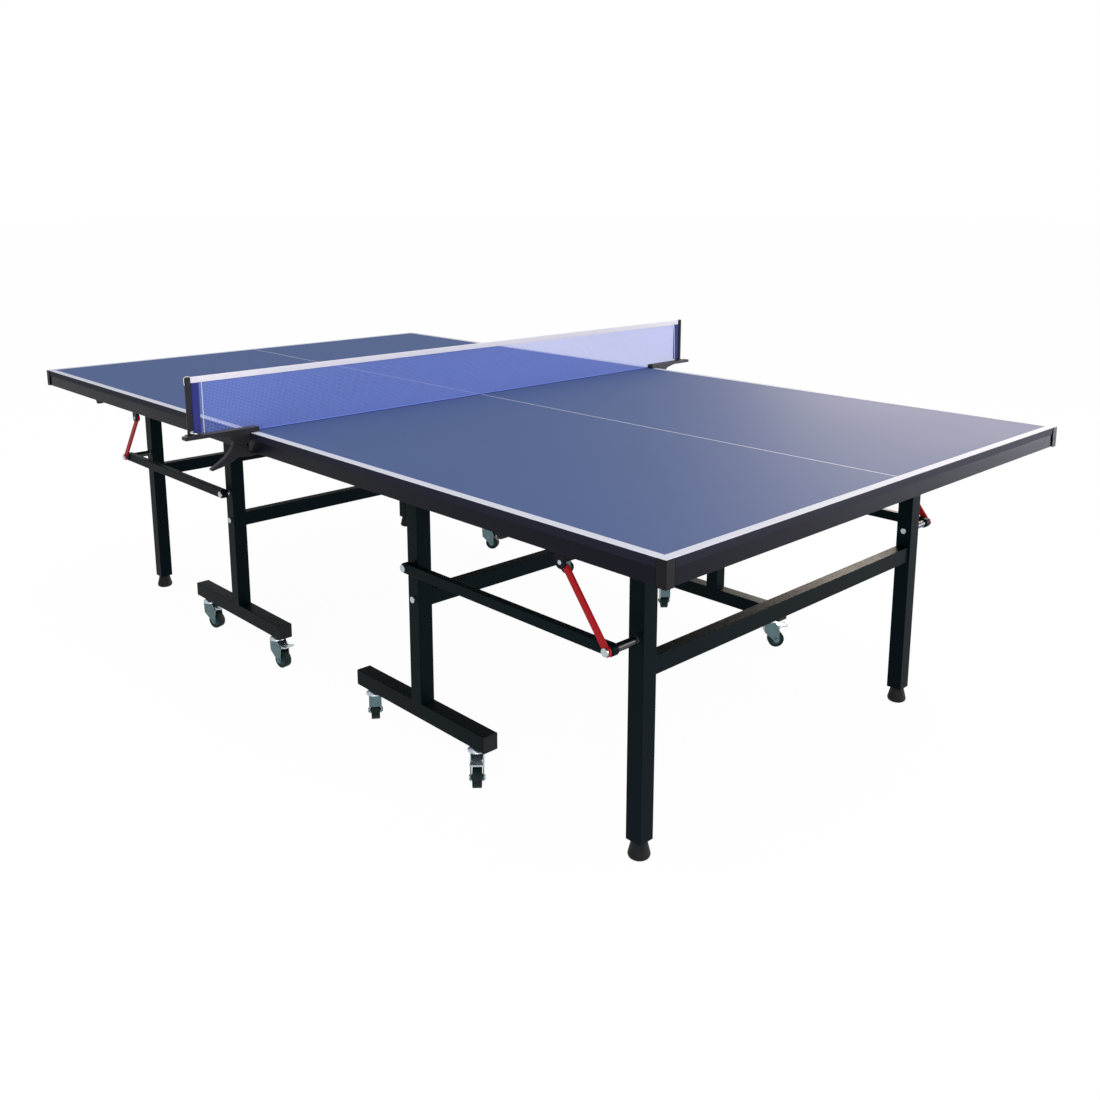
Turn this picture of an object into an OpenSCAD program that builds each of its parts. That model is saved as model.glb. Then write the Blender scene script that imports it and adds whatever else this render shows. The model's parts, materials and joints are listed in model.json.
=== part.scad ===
// Folding ping pong table: two rolling halves with parallelogram undercarriages and a clamp-on net.
// The origin lies on the floor under the middle of the net line: +X runs along the length towards
// the near half, Y runs along the net and +Z points up. All sizes are in millimetres.

/* [Playing surface] */
// Length of the whole playing surface
table_l = 2740; // [2700:10:2800]
// Width of the playing surface
table_w = 1525; // [1500:5:1550]
// Height of the playing surface above the floor
table_h = 760; // [756:1:764]
// Thickness of each half's panel
panel_t = 18; // [16:1:20]
// Gap between the two halves at the net line
half_gap = 7; // [7:1:12]

/* [Steel apron] */
// Height of the steel apron under the panel
apron_h = 32; // [30:1:34]
// Width of the apron's flanges
flange_w = 20; // [15:1:25]
// Wall thickness of the apron and the cross members
apron_wall = 2; // [1.5:0.5:3]
// Distance that the apron stands back from the panel's edge
apron_inset = 1.5; // [1:0.5:3]
// Width of the two cross members under each panel
member_w = 30; // [26:1:34]

/* [Corner guards and bumpers] */
// Length of each leg of a corner guard
guard_l = 21; // [15:1:30]
// Distance that a corner guard stands out past the panel
guard_proud = 1.5; // [1:0.5:3]
// Radius of the half-round bumpers under the side aprons
bumper_r = 11; // [8:1:14]
// Distance of the bumpers from the net line
bumper_x = 957; // [940:1:980]

/* [Legs] */
// Side of the square leg tubes
tube = 40; // [36:1:42]
// Wall thickness of the leg tubes
tube_wall = 1.5; // [1:0.5:2.5]
// Distance of the wheeled legs from the net line
post_x = 450; // [442:1:457]
// Distance of the wheeled legs from the centre line
post_y = 572; // [570:1:574]
// Distance of the outer legs from the net line
leg_x = 1110; // [1100:5:1120]
// Distance of the outer legs from the centre line
leg_y = 520; // [516:1:520]
// Depth of the bars that join the left and right legs
bar_d = 30; // [25:1:34]
// Height of the middle of the bar between the wheeled legs
post_bar_z = 396; // [380:2:410]
// Height of the middle of the bar between the outer legs
leg_bar_z = 418; // [400:2:430]
// Length of the foot tube of a wheeled leg
base_l = 500; // [460:10:540]
// Height of the underside of the foot tubes
base_z = 95; // [95:1:98]

/* [Folding linkage] */
// Height of the upper pivots
pivot_z = 685; // [684:1:685]
// Height of the link bars' pivots
link_z = 480; // [470:5:490]
// Height of the link bars
link_h = 25; // [20:1:28]
// Radius of the pivot bolts
bolt_r = 5; // [4:0.5:6]
// Width of the red braces
brace_w = 16; // [14:1:20]
// Thickness of the red braces
brace_t = 6; // [4:1:6]
// Distance of the upper brace pins from the net line
pin_x = 990; // [980:1:1000]
// Height of the upper brace pins
pin_z = 632; // [625:1:640]

/* [Feet and casters] */
// Radius of the levelling feet
foot_r = 24; // [20:1:24]
// Height of the levelling feet under the leg tubes
foot_h = 40; // [36:1:44]
// Distance of each caster from its leg, along the length of the table
caster_dx = 205; // [190:5:210]
// Radius of the caster wheels
wheel_r = 24; // [22:1:26]
// Width of the caster wheels
wheel_w = 22; // [18:1:24]
// Trail of the wheel behind the swivel axis
trail = 22; // [18:1:26]

/* [Net set] */
// Height of the net above the playing surface
net_h = 152.5; // [150:0.5:155]
// Distance of the net posts from the centre line
net_post_y = 909; // [900:1:915]
// Radius of the net posts
net_post_r = 7; // [6:0.5:8]
// Height of the white top tape
tape_h = 15; // [12:1:18]
// Reach of the clamp arms from the centre line
arm_reach = 934; // [930:2:950]

/* [Hidden] */
$fn = 48;

half_w = table_w / 2;
edge_x = half_gap / 2;
end_x = table_l / 2;
panel_z = table_h - panel_t;
apron_z = panel_z - apron_h;
apron_y = half_w - apron_inset;
tube_in = tube - 2 * tube_wall;

// play between faces that turn on each other, and radial running clearance of the pivots
face_play = 0.5;
run = 0.05;

// the pivot brackets: thickness of an ear, and the distance from a tube's middle to an ear
ear_t = 4;
ear_w = 28;
ear_y = tube / 2 + face_play;
plate_t = 3;
plate_z = pivot_z + 23;
post_top = pivot_z + 10;

// faces of the folding linkage, as distances from the centre line
link_y0 = post_y + tube / 2 + 8;
link_y1 = link_y0 + 18;
brace_y = link_y1 + 2;
lug_y = brace_y + brace_t + 2;
lug_t = 5;
link_play = 0.3;

// the brace lies along the line from its bolt to its pin, and its notch lets the pin out sideways
brace_l = norm([pin_x - leg_x, pin_z - link_z]);
brace_turn = atan2(pin_z - link_z, pin_x - leg_x);
notch_turn = 11;
notch_r = bolt_r + 0.5;

// the casters of one half: distance from the leg along X, side, and turn of the trail in degrees
INNER_LEFT = [-caster_dx, -post_y];
OUTER_LEFT = [caster_dx, -post_y];
INNER_RIGHT = [-caster_dx, post_y];
OUTER_RIGHT = [caster_dx, post_y];
stem_r = 5;
crown_z = 80;
crown_top = base_z - 3.3;
cheek_y = wheel_w / 2 + 2.5;
cheek_t = 2.5;
axle_r = 3;
hub_r = 8;
hub_y = cheek_y - face_play;
cup_r = 23;
front_x = -16;
front_z = 48;
pedal_x = 6;
pedal_z = 70;

// the net clamps stand over the near half, beside the net
arm_x = 4.5;
arm_w = 22;
arm_z = table_h + 4;
arm_t = 9;
lever_y = 790;
lever_z = 742;
cheek_w = 3;

RED = [0.62, 0.08, 0.10];
BLACK = [0.06, 0.07, 0.08];
STEEL = [0.08, 0.10, 0.11];
ZINC = [0.75, 0.76, 0.78];

// ---- helpers ----

// the near half lies on +X as drawn, and the far half is its mirror image
module near_half() {
    children();
}

module far_half() {
    mirror([1, 0, 0]) children();
}

// side is -1 for the left (-Y) and 1 for the right (+Y)
module on_side(side) {
    mirror([0, side < 0 ? 1 : 0, 0]) children();
}

// a box between two corners
module box(low, high) {
    translate(low) cube(high - low);
}

// a rod along +Y between two distances from the centre line
module rod_y(x, z, y0, y1, r) {
    translate([x, y0, z]) rotate([-90, 0, 0]) cylinder(h = y1 - y0, r = r);
}

// a hexagonal nut along +Y
module nut_y(x, z, y0, y1, r) {
    translate([x, y0, z]) rotate([-90, 0, 0]) cylinder(h = y1 - y0, r = r, $fn = 6);
}

// a flat shape drawn in X and Z, given its thickness along +Y
module plate_y(y0, y1) {
    translate([0, y1, 0]) rotate([90, 0, 0]) linear_extrude(y1 - y0) children();
}

// one upright square tube with a closed top
module upright(x, y, z0, z1) {
    difference() {
        box([x - tube / 2, y - tube / 2, z0], [x + tube / 2, y + tube / 2, z1]);
        box([x - tube_in / 2, y - tube_in / 2, z0 - 1],
            [x + tube_in / 2, y + tube_in / 2, z1 - tube_wall]);
    }
}

// ---- the top of one half ----

module panel() {
    color([0.24, 0.29, 0.47])
        box([edge_x, -half_w, panel_z], [end_x, half_w, table_h]);
}

// the channel-shaped apron that runs round the panel's edge
module apron() {
    x0 = edge_x + apron_inset;
    x1 = end_x - apron_inset;
    difference() {
        box([x0, -apron_y, apron_z], [x1, apron_y, panel_z]);
        box([x0 + flange_w, -apron_y + flange_w, apron_z - 1],
            [x1 - flange_w, apron_y - flange_w, panel_z + 1]);
        box([x0 + apron_wall, -apron_y + apron_wall, apron_z + apron_wall],
            [x1 - apron_wall, apron_y - apron_wall, panel_z - apron_wall]);
    }
}

// a channel across the panel's underside, open towards the panel
module cross_member(x) {
    difference() {
        box([x - member_w / 2, -apron_y + 1, plate_z + plate_t],
            [x + member_w / 2, apron_y - 1, panel_z]);
        box([x - member_w / 2 + apron_wall, -apron_y + flange_w, plate_z + plate_t + apron_wall],
            [x + member_w / 2 - apron_wall, apron_y - flange_w, panel_z + 1]);
    }
}

// the bracket with two ears that holds the top of one leg
module pivot_bracket(x, y) {
    box([x - ear_w / 2, y - ear_y - ear_t, plate_z], [x + ear_w / 2, y + ear_y + ear_t, plate_z + plate_t]);
    for (y0 = [y - ear_y - ear_t, y + ear_y])
        difference() {
            plate_y(y0, y0 + ear_t) {
                translate([x, pivot_z]) circle(r = ear_w / 2);
                translate([x - ear_w / 2, pivot_z]) square([ear_w, plate_z - pivot_z]);
            }
            rod_y(x, pivot_z, y0 - 1, y0 + ear_t + 1, bolt_r + run / 2);
        }
}

// the lug that carries the upper pin of a brace
module brace_lug() {
    box([pin_x - 20, lug_y, panel_z - plate_t], [pin_x + 20, lug_y + 35, panel_z]);
    difference() {
        plate_y(lug_y, lug_y + lug_t) {
            translate([pin_x, pin_z]) circle(r = ear_w / 2);
            translate([pin_x - ear_w / 2, pin_z]) square([ear_w, panel_z - pin_z]);
        }
        rod_y(pin_x, pin_z, lug_y - 1, lug_y + lug_t + 1, bolt_r + run / 2);
    }
}

module subframe() {
    color(STEEL) {
        apron();
        for (x = [post_x, leg_x]) cross_member(x);
        for (side = [-1, 1])
            on_side(side) {
                pivot_bracket(post_x, post_y);
                pivot_bracket(leg_x, leg_y);
                brace_lug();
            }
    }
}

// one moulded guard over the outer corner of a panel
module corner_guard() {
    play = 0.1;
    difference() {
        translate([0, 0, apron_z - 1]) linear_extrude(panel_t + apron_h + 0.5) {
            translate([end_x - guard_l, half_w - guard_l])
                square([guard_l, guard_l + guard_proud]);
            translate([end_x - guard_l, half_w - guard_l])
                square([guard_l + guard_proud, guard_l]);
            translate([end_x, half_w]) circle(r = guard_proud);
        }
        box([end_x - guard_l - 1, half_w - guard_l - 1, apron_z - 2],
            [end_x + play, half_w + play, table_h + 1]);
    }
}

// a half-round stop under a side apron
module bumper() {
    difference() {
        rod_y(bumper_x, apron_z, apron_y - flange_w + 2, apron_y - 1, bumper_r);
        box([bumper_x - 20, 0, apron_z], [bumper_x + 20, half_w, apron_z + 20]);
    }
}

module guards() {
    color(BLACK)
        for (side = [-1, 1])
            on_side(side) {
                corner_guard();
                bumper();
            }
}

// a bolt through one pivot bracket, with a flat head outside and a nut inside
module bracket_bolt(x, y) {
    rod_y(x, pivot_z, y - ear_y - ear_t, y + ear_y + ear_t, bolt_r);
    rod_y(x, pivot_z, y + ear_y + ear_t, y + ear_y + ear_t + 2.7, bolt_r + 4);
    nut_y(x, pivot_z, y - ear_y - ear_t - 4, y - ear_y - ear_t, bolt_r + 3);
}

module top_bolts() {
    color(ZINC)
        for (side = [-1, 1])
            on_side(side) {
                bracket_bolt(post_x, post_y);
                bracket_bolt(leg_x, leg_y);
                rod_y(pin_x, pin_z, brace_y - 1, lug_y + lug_t + 1, bolt_r);
            }
}

// ---- the wheeled base of one half ----

module wheeled_leg() {
    base_top = base_z + tube;
    color(STEEL)
        difference() {
            union() {
                upright(post_x, post_y, base_top, post_top);
                difference() {
                    box([post_x - base_l / 2, post_y - tube / 2, base_z],
                        [post_x + base_l / 2, post_y + tube / 2, base_top]);
                    box([post_x - base_l / 2 - 1, post_y - tube_in / 2, base_z + tube_wall],
                        [post_x + base_l / 2 + 1, post_y + tube_in / 2, base_top - tube_wall]);
                }
            }
            for (z = [pivot_z, link_z, post_bar_z])
                rod_y(post_x, z, post_y - tube, post_y + tube, bolt_r + run);
            for (dx = [-caster_dx, caster_dx])
                translate([post_x + dx, post_y, base_z - 1]) cylinder(h = 4, r = stem_r + run);
        }
}

module post_bar() {
    color(STEEL)
        difference() {
            box([post_x - bar_d / 2, -post_y + tube / 2, post_bar_z - tube / 2],
                [post_x + bar_d / 2, post_y - tube / 2, post_bar_z + tube / 2]);
            box([post_x - bar_d / 2 + tube_wall, -post_y, post_bar_z - tube_in / 2],
                [post_x + bar_d / 2 - tube_wall, post_y, post_bar_z + tube_in / 2]);
        }
}

// the end caps of the foot tubes and the sockets that the casters turn in
module base_caps() {
    color(BLACK)
        for (y = [-post_y, post_y]) {
            for (end = [-1, 1])
                translate([post_x + end * (base_l / 2 + 2), y, base_z + tube / 2])
                    cube([4, tube, tube], center = true);
            for (dx = [-caster_dx, caster_dx])
                translate([post_x + dx, y, base_z - 3])
                    difference() {
                        cylinder(h = 3, r = 17);
                        translate([0, 0, -1]) cylinder(h = 5, r = stem_r + run);
                    }
        }
}

// the bolts that hold the link bars and the cross bar to the wheeled legs
module base_bolts() {
    inner = post_y - tube / 2;
    outer = post_y + tube / 2;
    color(ZINC)
        for (side = [-1, 1])
            on_side(side) {
                nut_y(post_x, link_z, inner - 4, inner, bolt_r + 3);
                rod_y(post_x, link_z, inner, link_y1 + link_play, bolt_r);
                rod_y(post_x, link_z, outer, link_y0, bolt_r + 5);
                rod_y(post_x, link_z, link_y1 + link_play, link_y1 + 5, bolt_r + 4);
                rod_y(post_x, post_bar_z, inner - 10, outer, bolt_r - 1);
                rod_y(post_x, post_bar_z, outer, outer + 5, bolt_r + 3);
            }
}

// ---- the outer legs of one half ----

// the two outer legs with the bar welded between them
module leg_frame() {
    inner = leg_y - tube / 2;
    color(STEEL)
        difference() {
            union() {
                for (y = [-leg_y, leg_y]) {
                    upright(leg_x, y, foot_h, post_top);
                    box([leg_x - tube / 2, y - tube / 2, foot_h],
                        [leg_x + tube / 2, y + tube / 2, foot_h + 3]);
                }
                difference() {
                    box([leg_x - bar_d / 2, -inner, leg_bar_z - tube / 2],
                        [leg_x + bar_d / 2, inner, leg_bar_z + tube / 2]);
                    box([leg_x - bar_d / 2 + tube_wall, -inner - 1, leg_bar_z - tube_in / 2],
                        [leg_x + bar_d / 2 - tube_wall, inner + 1, leg_bar_z + tube_in / 2]);
                }
            }
            for (side = [-1, 1])
                on_side(side) {
                    for (z = [pivot_z, link_z])
                        rod_y(leg_x, z, leg_y - tube, leg_y + tube, bolt_r + run);
                    rod_y(leg_x, leg_bar_z, inner - 1, inner + 3, bolt_r);
                    translate([leg_x, leg_y, foot_h - 1]) cylinder(h = 6, r = stem_r + 1 + run);
                }
        }
}

// the long bolts that carry the link bars and the braces beside the outer legs
module leg_bolts() {
    inner = leg_y - tube / 2;
    outer = leg_y + tube / 2;
    color(ZINC)
        for (side = [-1, 1])
            on_side(side) {
                nut_y(leg_x, link_z, inner - 4, inner, bolt_r + 3);
                rod_y(leg_x, link_z, inner, brace_y + brace_t + link_play, bolt_r);
                rod_y(leg_x, link_z, outer, link_y0, bolt_r + 4);
                rod_y(leg_x, link_z, link_y1 + link_play, brace_y - link_play, bolt_r + 4);
                rod_y(leg_x, link_z, brace_y + brace_t + link_play, brace_y + brace_t + 5, bolt_r + 4);
            }
}

// a levelling foot: a bell-shaped pad and the threaded stem that screws into the leg
module foot() {
    color(BLACK)
        translate([leg_x, leg_y, 0]) {
            rotate_extrude()
                polygon([[0, 0], [foot_r - 5, 0], [foot_r - 1.5, 3], [foot_r, 7],
                         [foot_r - 0.5, 11], [17.5, foot_h - 5], [17.5, foot_h - link_play],
                         [0, foot_h - link_play]]);
            cylinder(h = foot_h + 32, r = stem_r + 1);
        }
}

// ---- the folding linkage of one half ----

// a level bar from the wheeled leg to the outer leg
module link() {
    color(STEEL)
        difference() {
            plate_y(link_y0 + link_play, link_y1) {
                translate([post_x, link_z - link_h / 2]) square([leg_x - post_x, link_h]);
                for (x = [post_x, leg_x]) translate([x, link_z]) circle(r = link_h / 2);
            }
            for (x = [post_x, leg_x]) rod_y(x, link_z, link_y0 - 1, link_y1 + 1, bolt_r + run);
        }
}

// the red brace from the outer leg up to the lug under the panel
module brace() {
    color(RED)
        difference() {
            plate_y(brace_y, brace_y + brace_t) {
                translate([leg_x, link_z]) circle(r = 11);
                translate([leg_x, link_z]) rotate(brace_turn)
                    translate([0, -brace_w / 2]) square([brace_l, brace_w]);
                translate([pin_x, pin_z]) circle(r = 13);
            }
            rod_y(leg_x, link_z, brace_y - 1, brace_y + brace_t + 1, bolt_r + run);
            rod_y(pin_x, pin_z, brace_y - 1, brace_y + brace_t + 1, notch_r);
            plate_y(brace_y - 1, brace_y + brace_t + 1)
                translate([pin_x, pin_z]) rotate(notch_turn)
                    translate([0, -notch_r]) square([25, 2 * notch_r]);
        }
}

// ---- the casters ----

// moves a caster drawn on the origin, with its trail along +X, to its place
module at_caster(place, turn) {
    translate([post_x + place[0], place[1], 0]) rotate([0, 0, turn]) children();
}

// a pressed fork: ball-race cup, swivel stem, two cheeks with a wall in front, axle with nuts, pedal pin
module fork(place, turn) {
    color(ZINC)
        at_caster(place, turn) {
            rotate_extrude()
                polygon([[0, crown_z], [cup_r - 1, crown_z], [cup_r, crown_z + 2],
                         [cup_r - 1, crown_z + 5], [14, crown_top - 1], [13, crown_top],
                         [0, crown_top]]);
            translate([0, 0, crown_z]) cylinder(h = base_z + 5 - crown_z, r = stem_r);
            for (side = [-1, 1])
                on_side(side) {
                    plate_y(cheek_y, cheek_y + cheek_t) {
                        translate([trail, wheel_r]) circle(r = 9);
                        polygon([[front_x, crown_z + 2], [front_x + 2, front_z],
                                 [trail - 9, wheel_r], [trail + 9, wheel_r],
                                 [trail + 8, crown_z - 20], [-front_x, crown_z + 2]]);
                    }
                    nut_y(trail, wheel_r, cheek_y + cheek_t, cheek_y + cheek_t + 3, axle_r + 3);
                }
            plate_y(-cheek_y - 1, cheek_y + 1)
                polygon([[front_x, crown_z + 2], [front_x + 2, front_z],
                         [front_x + 2 + cheek_t, front_z], [front_x + cheek_t, crown_z + 2]]);
            rod_y(trail, wheel_r, -cheek_y - cheek_t, cheek_y + cheek_t, axle_r);
            rod_y(pedal_x, pedal_z, -cheek_y - cheek_t, cheek_y + cheek_t, 2);
        }
}

// a wheel with a rounded tread, a hub and a bore for the axle
module wheel(place, turn) {
    edge = 3;
    color(BLACK)
        at_caster(place, turn)
            translate([trail, 0, wheel_r]) rotate([90, 0, 0])
                rotate_extrude()
                    difference() {
                        union() {
                            translate([0, -wheel_w / 2 + edge])
                                square([wheel_r, wheel_w - 2 * edge]);
                            translate([0, -wheel_w / 2]) square([wheel_r - edge, wheel_w]);
                            translate([0, -hub_y]) square([hub_r, 2 * hub_y]);
                            for (y = [-1, 1])
                                translate([wheel_r - edge, y * (wheel_w / 2 - edge)]) circle(r = edge);
                        }
                        translate([-wheel_r, -wheel_w]) square([wheel_r + axle_r + run, 2 * wheel_w]);
                    }
}

// a brake pedal: a shoe over the wheel and a pad to step on, turning on a pin in the fork
module pedal(place, turn) {
    color(ZINC)
        at_caster(place, turn)
            difference() {
                union() {
                    plate_y(-cheek_y + 1, cheek_y - 1) {
                        translate([pedal_x, pedal_z]) circle(r = 5);
                        polygon([[pedal_x, pedal_z - 5], [trail - 4, 2 * wheel_r + 4],
                                 [trail + 4, 2 * wheel_r + 4], [trail + 14, 64], [trail + 14, 68],
                                 [pedal_x, pedal_z + 5]]);
                    }
                    plate_y(-cheek_y - 2.5, cheek_y + 2.5)
                        polygon([[trail + 13, 64], [trail + 32, 67], [trail + 32, 71], [trail + 13, 68]]);
                }
                rod_y(pedal_x, pedal_z, -20, 20, 2 + run);
            }
}

// ---- the net set ----

// the mesh and the two sleeves that slide over the posts' inner sides
module net_cloth() {
    top = table_h + net_h - tape_h;
    sleeve_end = net_post_y - net_post_r - 1;
    color([0.25, 0.30, 0.65]) {
        box([-0.75, -sleeve_end + 30, table_h + 0.5], [0.75, sleeve_end - 30, top]);
        for (side = [-1, 1])
            on_side(side)
                box([-3, sleeve_end - 36, arm_z + arm_t + 2], [3, sleeve_end, top]);
    }
}

// the white band along the top with its cord down to each clamp arm
module net_tape() {
    top = table_h + net_h;
    end = net_post_y - net_post_r - 1;
    cord_x = arm_x + 3;
    cord_r = 1.2;
    color([0.92, 0.92, 0.95]) {
        box([-1.75, -end, top - tape_h], [1.75, end, top]);
        for (side = [-1, 1])
            on_side(side)
                translate([0, end - 26, 0]) {
                    translate([0, 0, top - 5]) rotate([0, 90, 0]) cylinder(h = cord_x, r = cord_r);
                    translate([cord_x, 0, arm_z + arm_t])
                        cylinder(h = top - 5 - arm_z - arm_t, r = cord_r);
                }
    }
}

// one clamp: the arm over the table edge, two cheeks for the lever, the post and its screw
module net_clamp(side) {
    arm_in = half_w - 22;
    socket_out = net_post_y + 11;
    edge = half_w + 4;
    color(BLACK)
        on_side(side) {
            box([arm_x, arm_in, arm_z], [arm_x + arm_w, arm_reach, arm_z + arm_t]);
            box([arm_x, arm_in, table_h + 0.2], [arm_x + arm_w, half_w - 2, arm_z]);
            for (x = [arm_x, arm_x + arm_w - cheek_w])
                translate([x, 0, 0]) rotate([90, 0, 90]) linear_extrude(cheek_w)
                    polygon([[edge, arm_z + 1], [edge, lever_z - 3], [edge + 6, lever_z - 7],
                             [lever_y + 5, lever_z - 7], [lever_y + 14, lever_z + 2],
                             [lever_y + 32, arm_z - 7], [lever_y + 70, arm_z + 1]]);
            translate([arm_x, lever_y, lever_z]) rotate([0, 90, 0]) cylinder(h = arm_w, r = 3);
            box([-9, net_post_y - 11, arm_z - 3], [arm_x + 1, socket_out, arm_z + arm_t]);
            translate([0, net_post_y, arm_z]) cylinder(h = net_h - 4, r = net_post_r);
            translate([0, socket_out - 1, arm_z + 3]) rotate([-90, 0, 0]) cylinder(h = 8, r = 5);
        }
}

// the sprung lower jaw with its curved handle, seen along +X with Y outwards
module net_lever(side) {
    play = 0.3;
    x0 = arm_x + cheek_w + play;
    x1 = arm_x + arm_w - cheek_w - play;
    jaw_z = apron_z - play;
    color(BLACK)
        on_side(side)
            difference() {
                translate([x0, 0, 0]) rotate([90, 0, 90]) linear_extrude(x1 - x0) {
                    translate([lever_y, lever_z]) circle(r = 9);
                    polygon([[lever_y - 9, lever_z], [half_w + 4, apron_z + 4],
                             [half_w + 4, jaw_z], [half_w - 16, jaw_z], [half_w - 16, jaw_z - 6],
                             [half_w + 4, jaw_z - 9], [lever_y + 8, lever_z - 38],
                             [lever_y + 27, lever_z - 48], [lever_y + 52, lever_z - 57],
                             [lever_y + 80, lever_z - 63], [lever_y + 82, lever_z - 58],
                             [lever_y + 62, lever_z - 47], [lever_y + 42, lever_z - 34],
                             [lever_y + 28, lever_z - 20], [lever_y + 21, lever_z - 5],
                             [lever_y + 12, lever_z + 6], [lever_y, lever_z + 9]]);
                }
                translate([x0 - 1, lever_y, lever_z]) rotate([0, 90, 0]) cylinder(h = arm_w, r = 3 + run);
            }
}

near_half() panel();  // near_panel
near_half() subframe();  // near_subframe
near_half() guards();  // near_guards
near_half() top_bolts();  // near_top_bolts
near_half() on_side(-1) wheeled_leg();  // near_wheeled_leg_left
near_half() on_side(1) wheeled_leg();  // near_wheeled_leg_right
near_half() post_bar();  // near_post_bar
near_half() base_caps();  // near_base_caps
near_half() base_bolts();  // near_base_bolts
near_half() leg_frame();  // near_leg_frame
near_half() leg_bolts();  // near_leg_bolts
near_half() on_side(-1) foot();  // near_foot_left
near_half() on_side(1) foot();  // near_foot_right
near_half() on_side(-1) link();  // near_link_left
near_half() on_side(1) link();  // near_link_right
near_half() on_side(-1) brace();  // near_brace_left
near_half() on_side(1) brace();  // near_brace_right
near_half() fork(INNER_LEFT, 146);  // near_fork_inner_left
near_half() fork(OUTER_LEFT, -42);  // near_fork_outer_left
near_half() fork(INNER_RIGHT, 138);  // near_fork_inner_right
near_half() fork(OUTER_RIGHT, 48);  // near_fork_outer_right
near_half() wheel(INNER_LEFT, 146);  // near_wheel_inner_left
near_half() wheel(OUTER_LEFT, -42);  // near_wheel_outer_left
near_half() wheel(INNER_RIGHT, 138);  // near_wheel_inner_right
near_half() wheel(OUTER_RIGHT, 48);  // near_wheel_outer_right
near_half() pedal(OUTER_LEFT, -42);  // near_pedal_outer_left
near_half() pedal(OUTER_RIGHT, 48);  // near_pedal_outer_right
far_half() panel();  // far_panel
far_half() subframe();  // far_subframe
far_half() guards();  // far_guards
far_half() top_bolts();  // far_top_bolts
far_half() on_side(-1) wheeled_leg();  // far_wheeled_leg_left
far_half() on_side(1) wheeled_leg();  // far_wheeled_leg_right
far_half() post_bar();  // far_post_bar
far_half() base_caps();  // far_base_caps
far_half() base_bolts();  // far_base_bolts
far_half() leg_frame();  // far_leg_frame
far_half() leg_bolts();  // far_leg_bolts
far_half() on_side(-1) foot();  // far_foot_left
far_half() on_side(1) foot();  // far_foot_right
far_half() on_side(-1) link();  // far_link_left
far_half() on_side(1) link();  // far_link_right
far_half() on_side(-1) brace();  // far_brace_left
far_half() on_side(1) brace();  // far_brace_right
far_half() fork(INNER_LEFT, 172);  // far_fork_inner_left
far_half() fork(OUTER_LEFT, 162);  // far_fork_outer_left
far_half() fork(INNER_RIGHT, 120);  // far_fork_inner_right
far_half() fork(OUTER_RIGHT, 150);  // far_fork_outer_right
far_half() wheel(INNER_LEFT, 172);  // far_wheel_inner_left
far_half() wheel(OUTER_LEFT, 162);  // far_wheel_outer_left
far_half() wheel(INNER_RIGHT, 120);  // far_wheel_inner_right
far_half() wheel(OUTER_RIGHT, 150);  // far_wheel_outer_right
far_half() pedal(INNER_LEFT, 172);  // far_pedal_inner_left
far_half() pedal(OUTER_LEFT, 162);  // far_pedal_outer_left
net_cloth();
net_tape();
net_clamp(-1);  // net_clamp_left
net_clamp(1);  // net_clamp_right
net_lever(-1);  // net_lever_left
net_lever(1);  // net_lever_right
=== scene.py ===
# %% [markdown]
# # A folding ping pong table
# The table comes from CAD as a fixed frame: every tube, bolt and caster is already where it
# belongs. This script gives those pieces their looks. It rounds their edges, builds the wheels
# and the net in more detail, and paints everything with procedural materials. The camera and the
# net's cords come first, then the light, the finishes, the steel, the casters and the net set.

# %% load the frame
import json
import math

import bmesh
import bpy
from mathutils import Matrix, Vector


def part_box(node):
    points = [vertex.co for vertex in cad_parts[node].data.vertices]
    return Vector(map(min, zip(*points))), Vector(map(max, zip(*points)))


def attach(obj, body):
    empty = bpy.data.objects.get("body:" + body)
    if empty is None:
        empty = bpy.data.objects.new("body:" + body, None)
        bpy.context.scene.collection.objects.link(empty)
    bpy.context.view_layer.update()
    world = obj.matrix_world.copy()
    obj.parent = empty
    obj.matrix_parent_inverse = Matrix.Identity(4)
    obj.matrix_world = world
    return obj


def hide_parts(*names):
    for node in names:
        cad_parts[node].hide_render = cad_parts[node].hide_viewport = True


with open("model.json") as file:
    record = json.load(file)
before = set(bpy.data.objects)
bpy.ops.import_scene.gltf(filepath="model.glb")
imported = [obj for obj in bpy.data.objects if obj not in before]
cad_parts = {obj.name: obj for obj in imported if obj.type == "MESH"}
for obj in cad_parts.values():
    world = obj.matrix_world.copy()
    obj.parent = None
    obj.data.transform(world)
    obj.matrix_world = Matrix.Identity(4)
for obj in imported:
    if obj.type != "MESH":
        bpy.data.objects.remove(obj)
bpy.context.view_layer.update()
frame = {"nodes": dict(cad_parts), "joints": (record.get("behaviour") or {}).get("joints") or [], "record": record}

joints = {joint["name"]: joint for joint in frame["joints"]}
HALVES = ("near", "far")
SIDES = {"left": -1, "right": 1}
MM = 0.001

# %% [markdown]
# ## The camera
# The table is seen across one corner of its near half, from about chest height, through a
# moderately wide lens. The camera is turned by two plain angles: its heading round the table and
# how far it looks down. The small shift moves the picture on the film without tilting the
# camera, so that the legs stay nearly upright.

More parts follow.
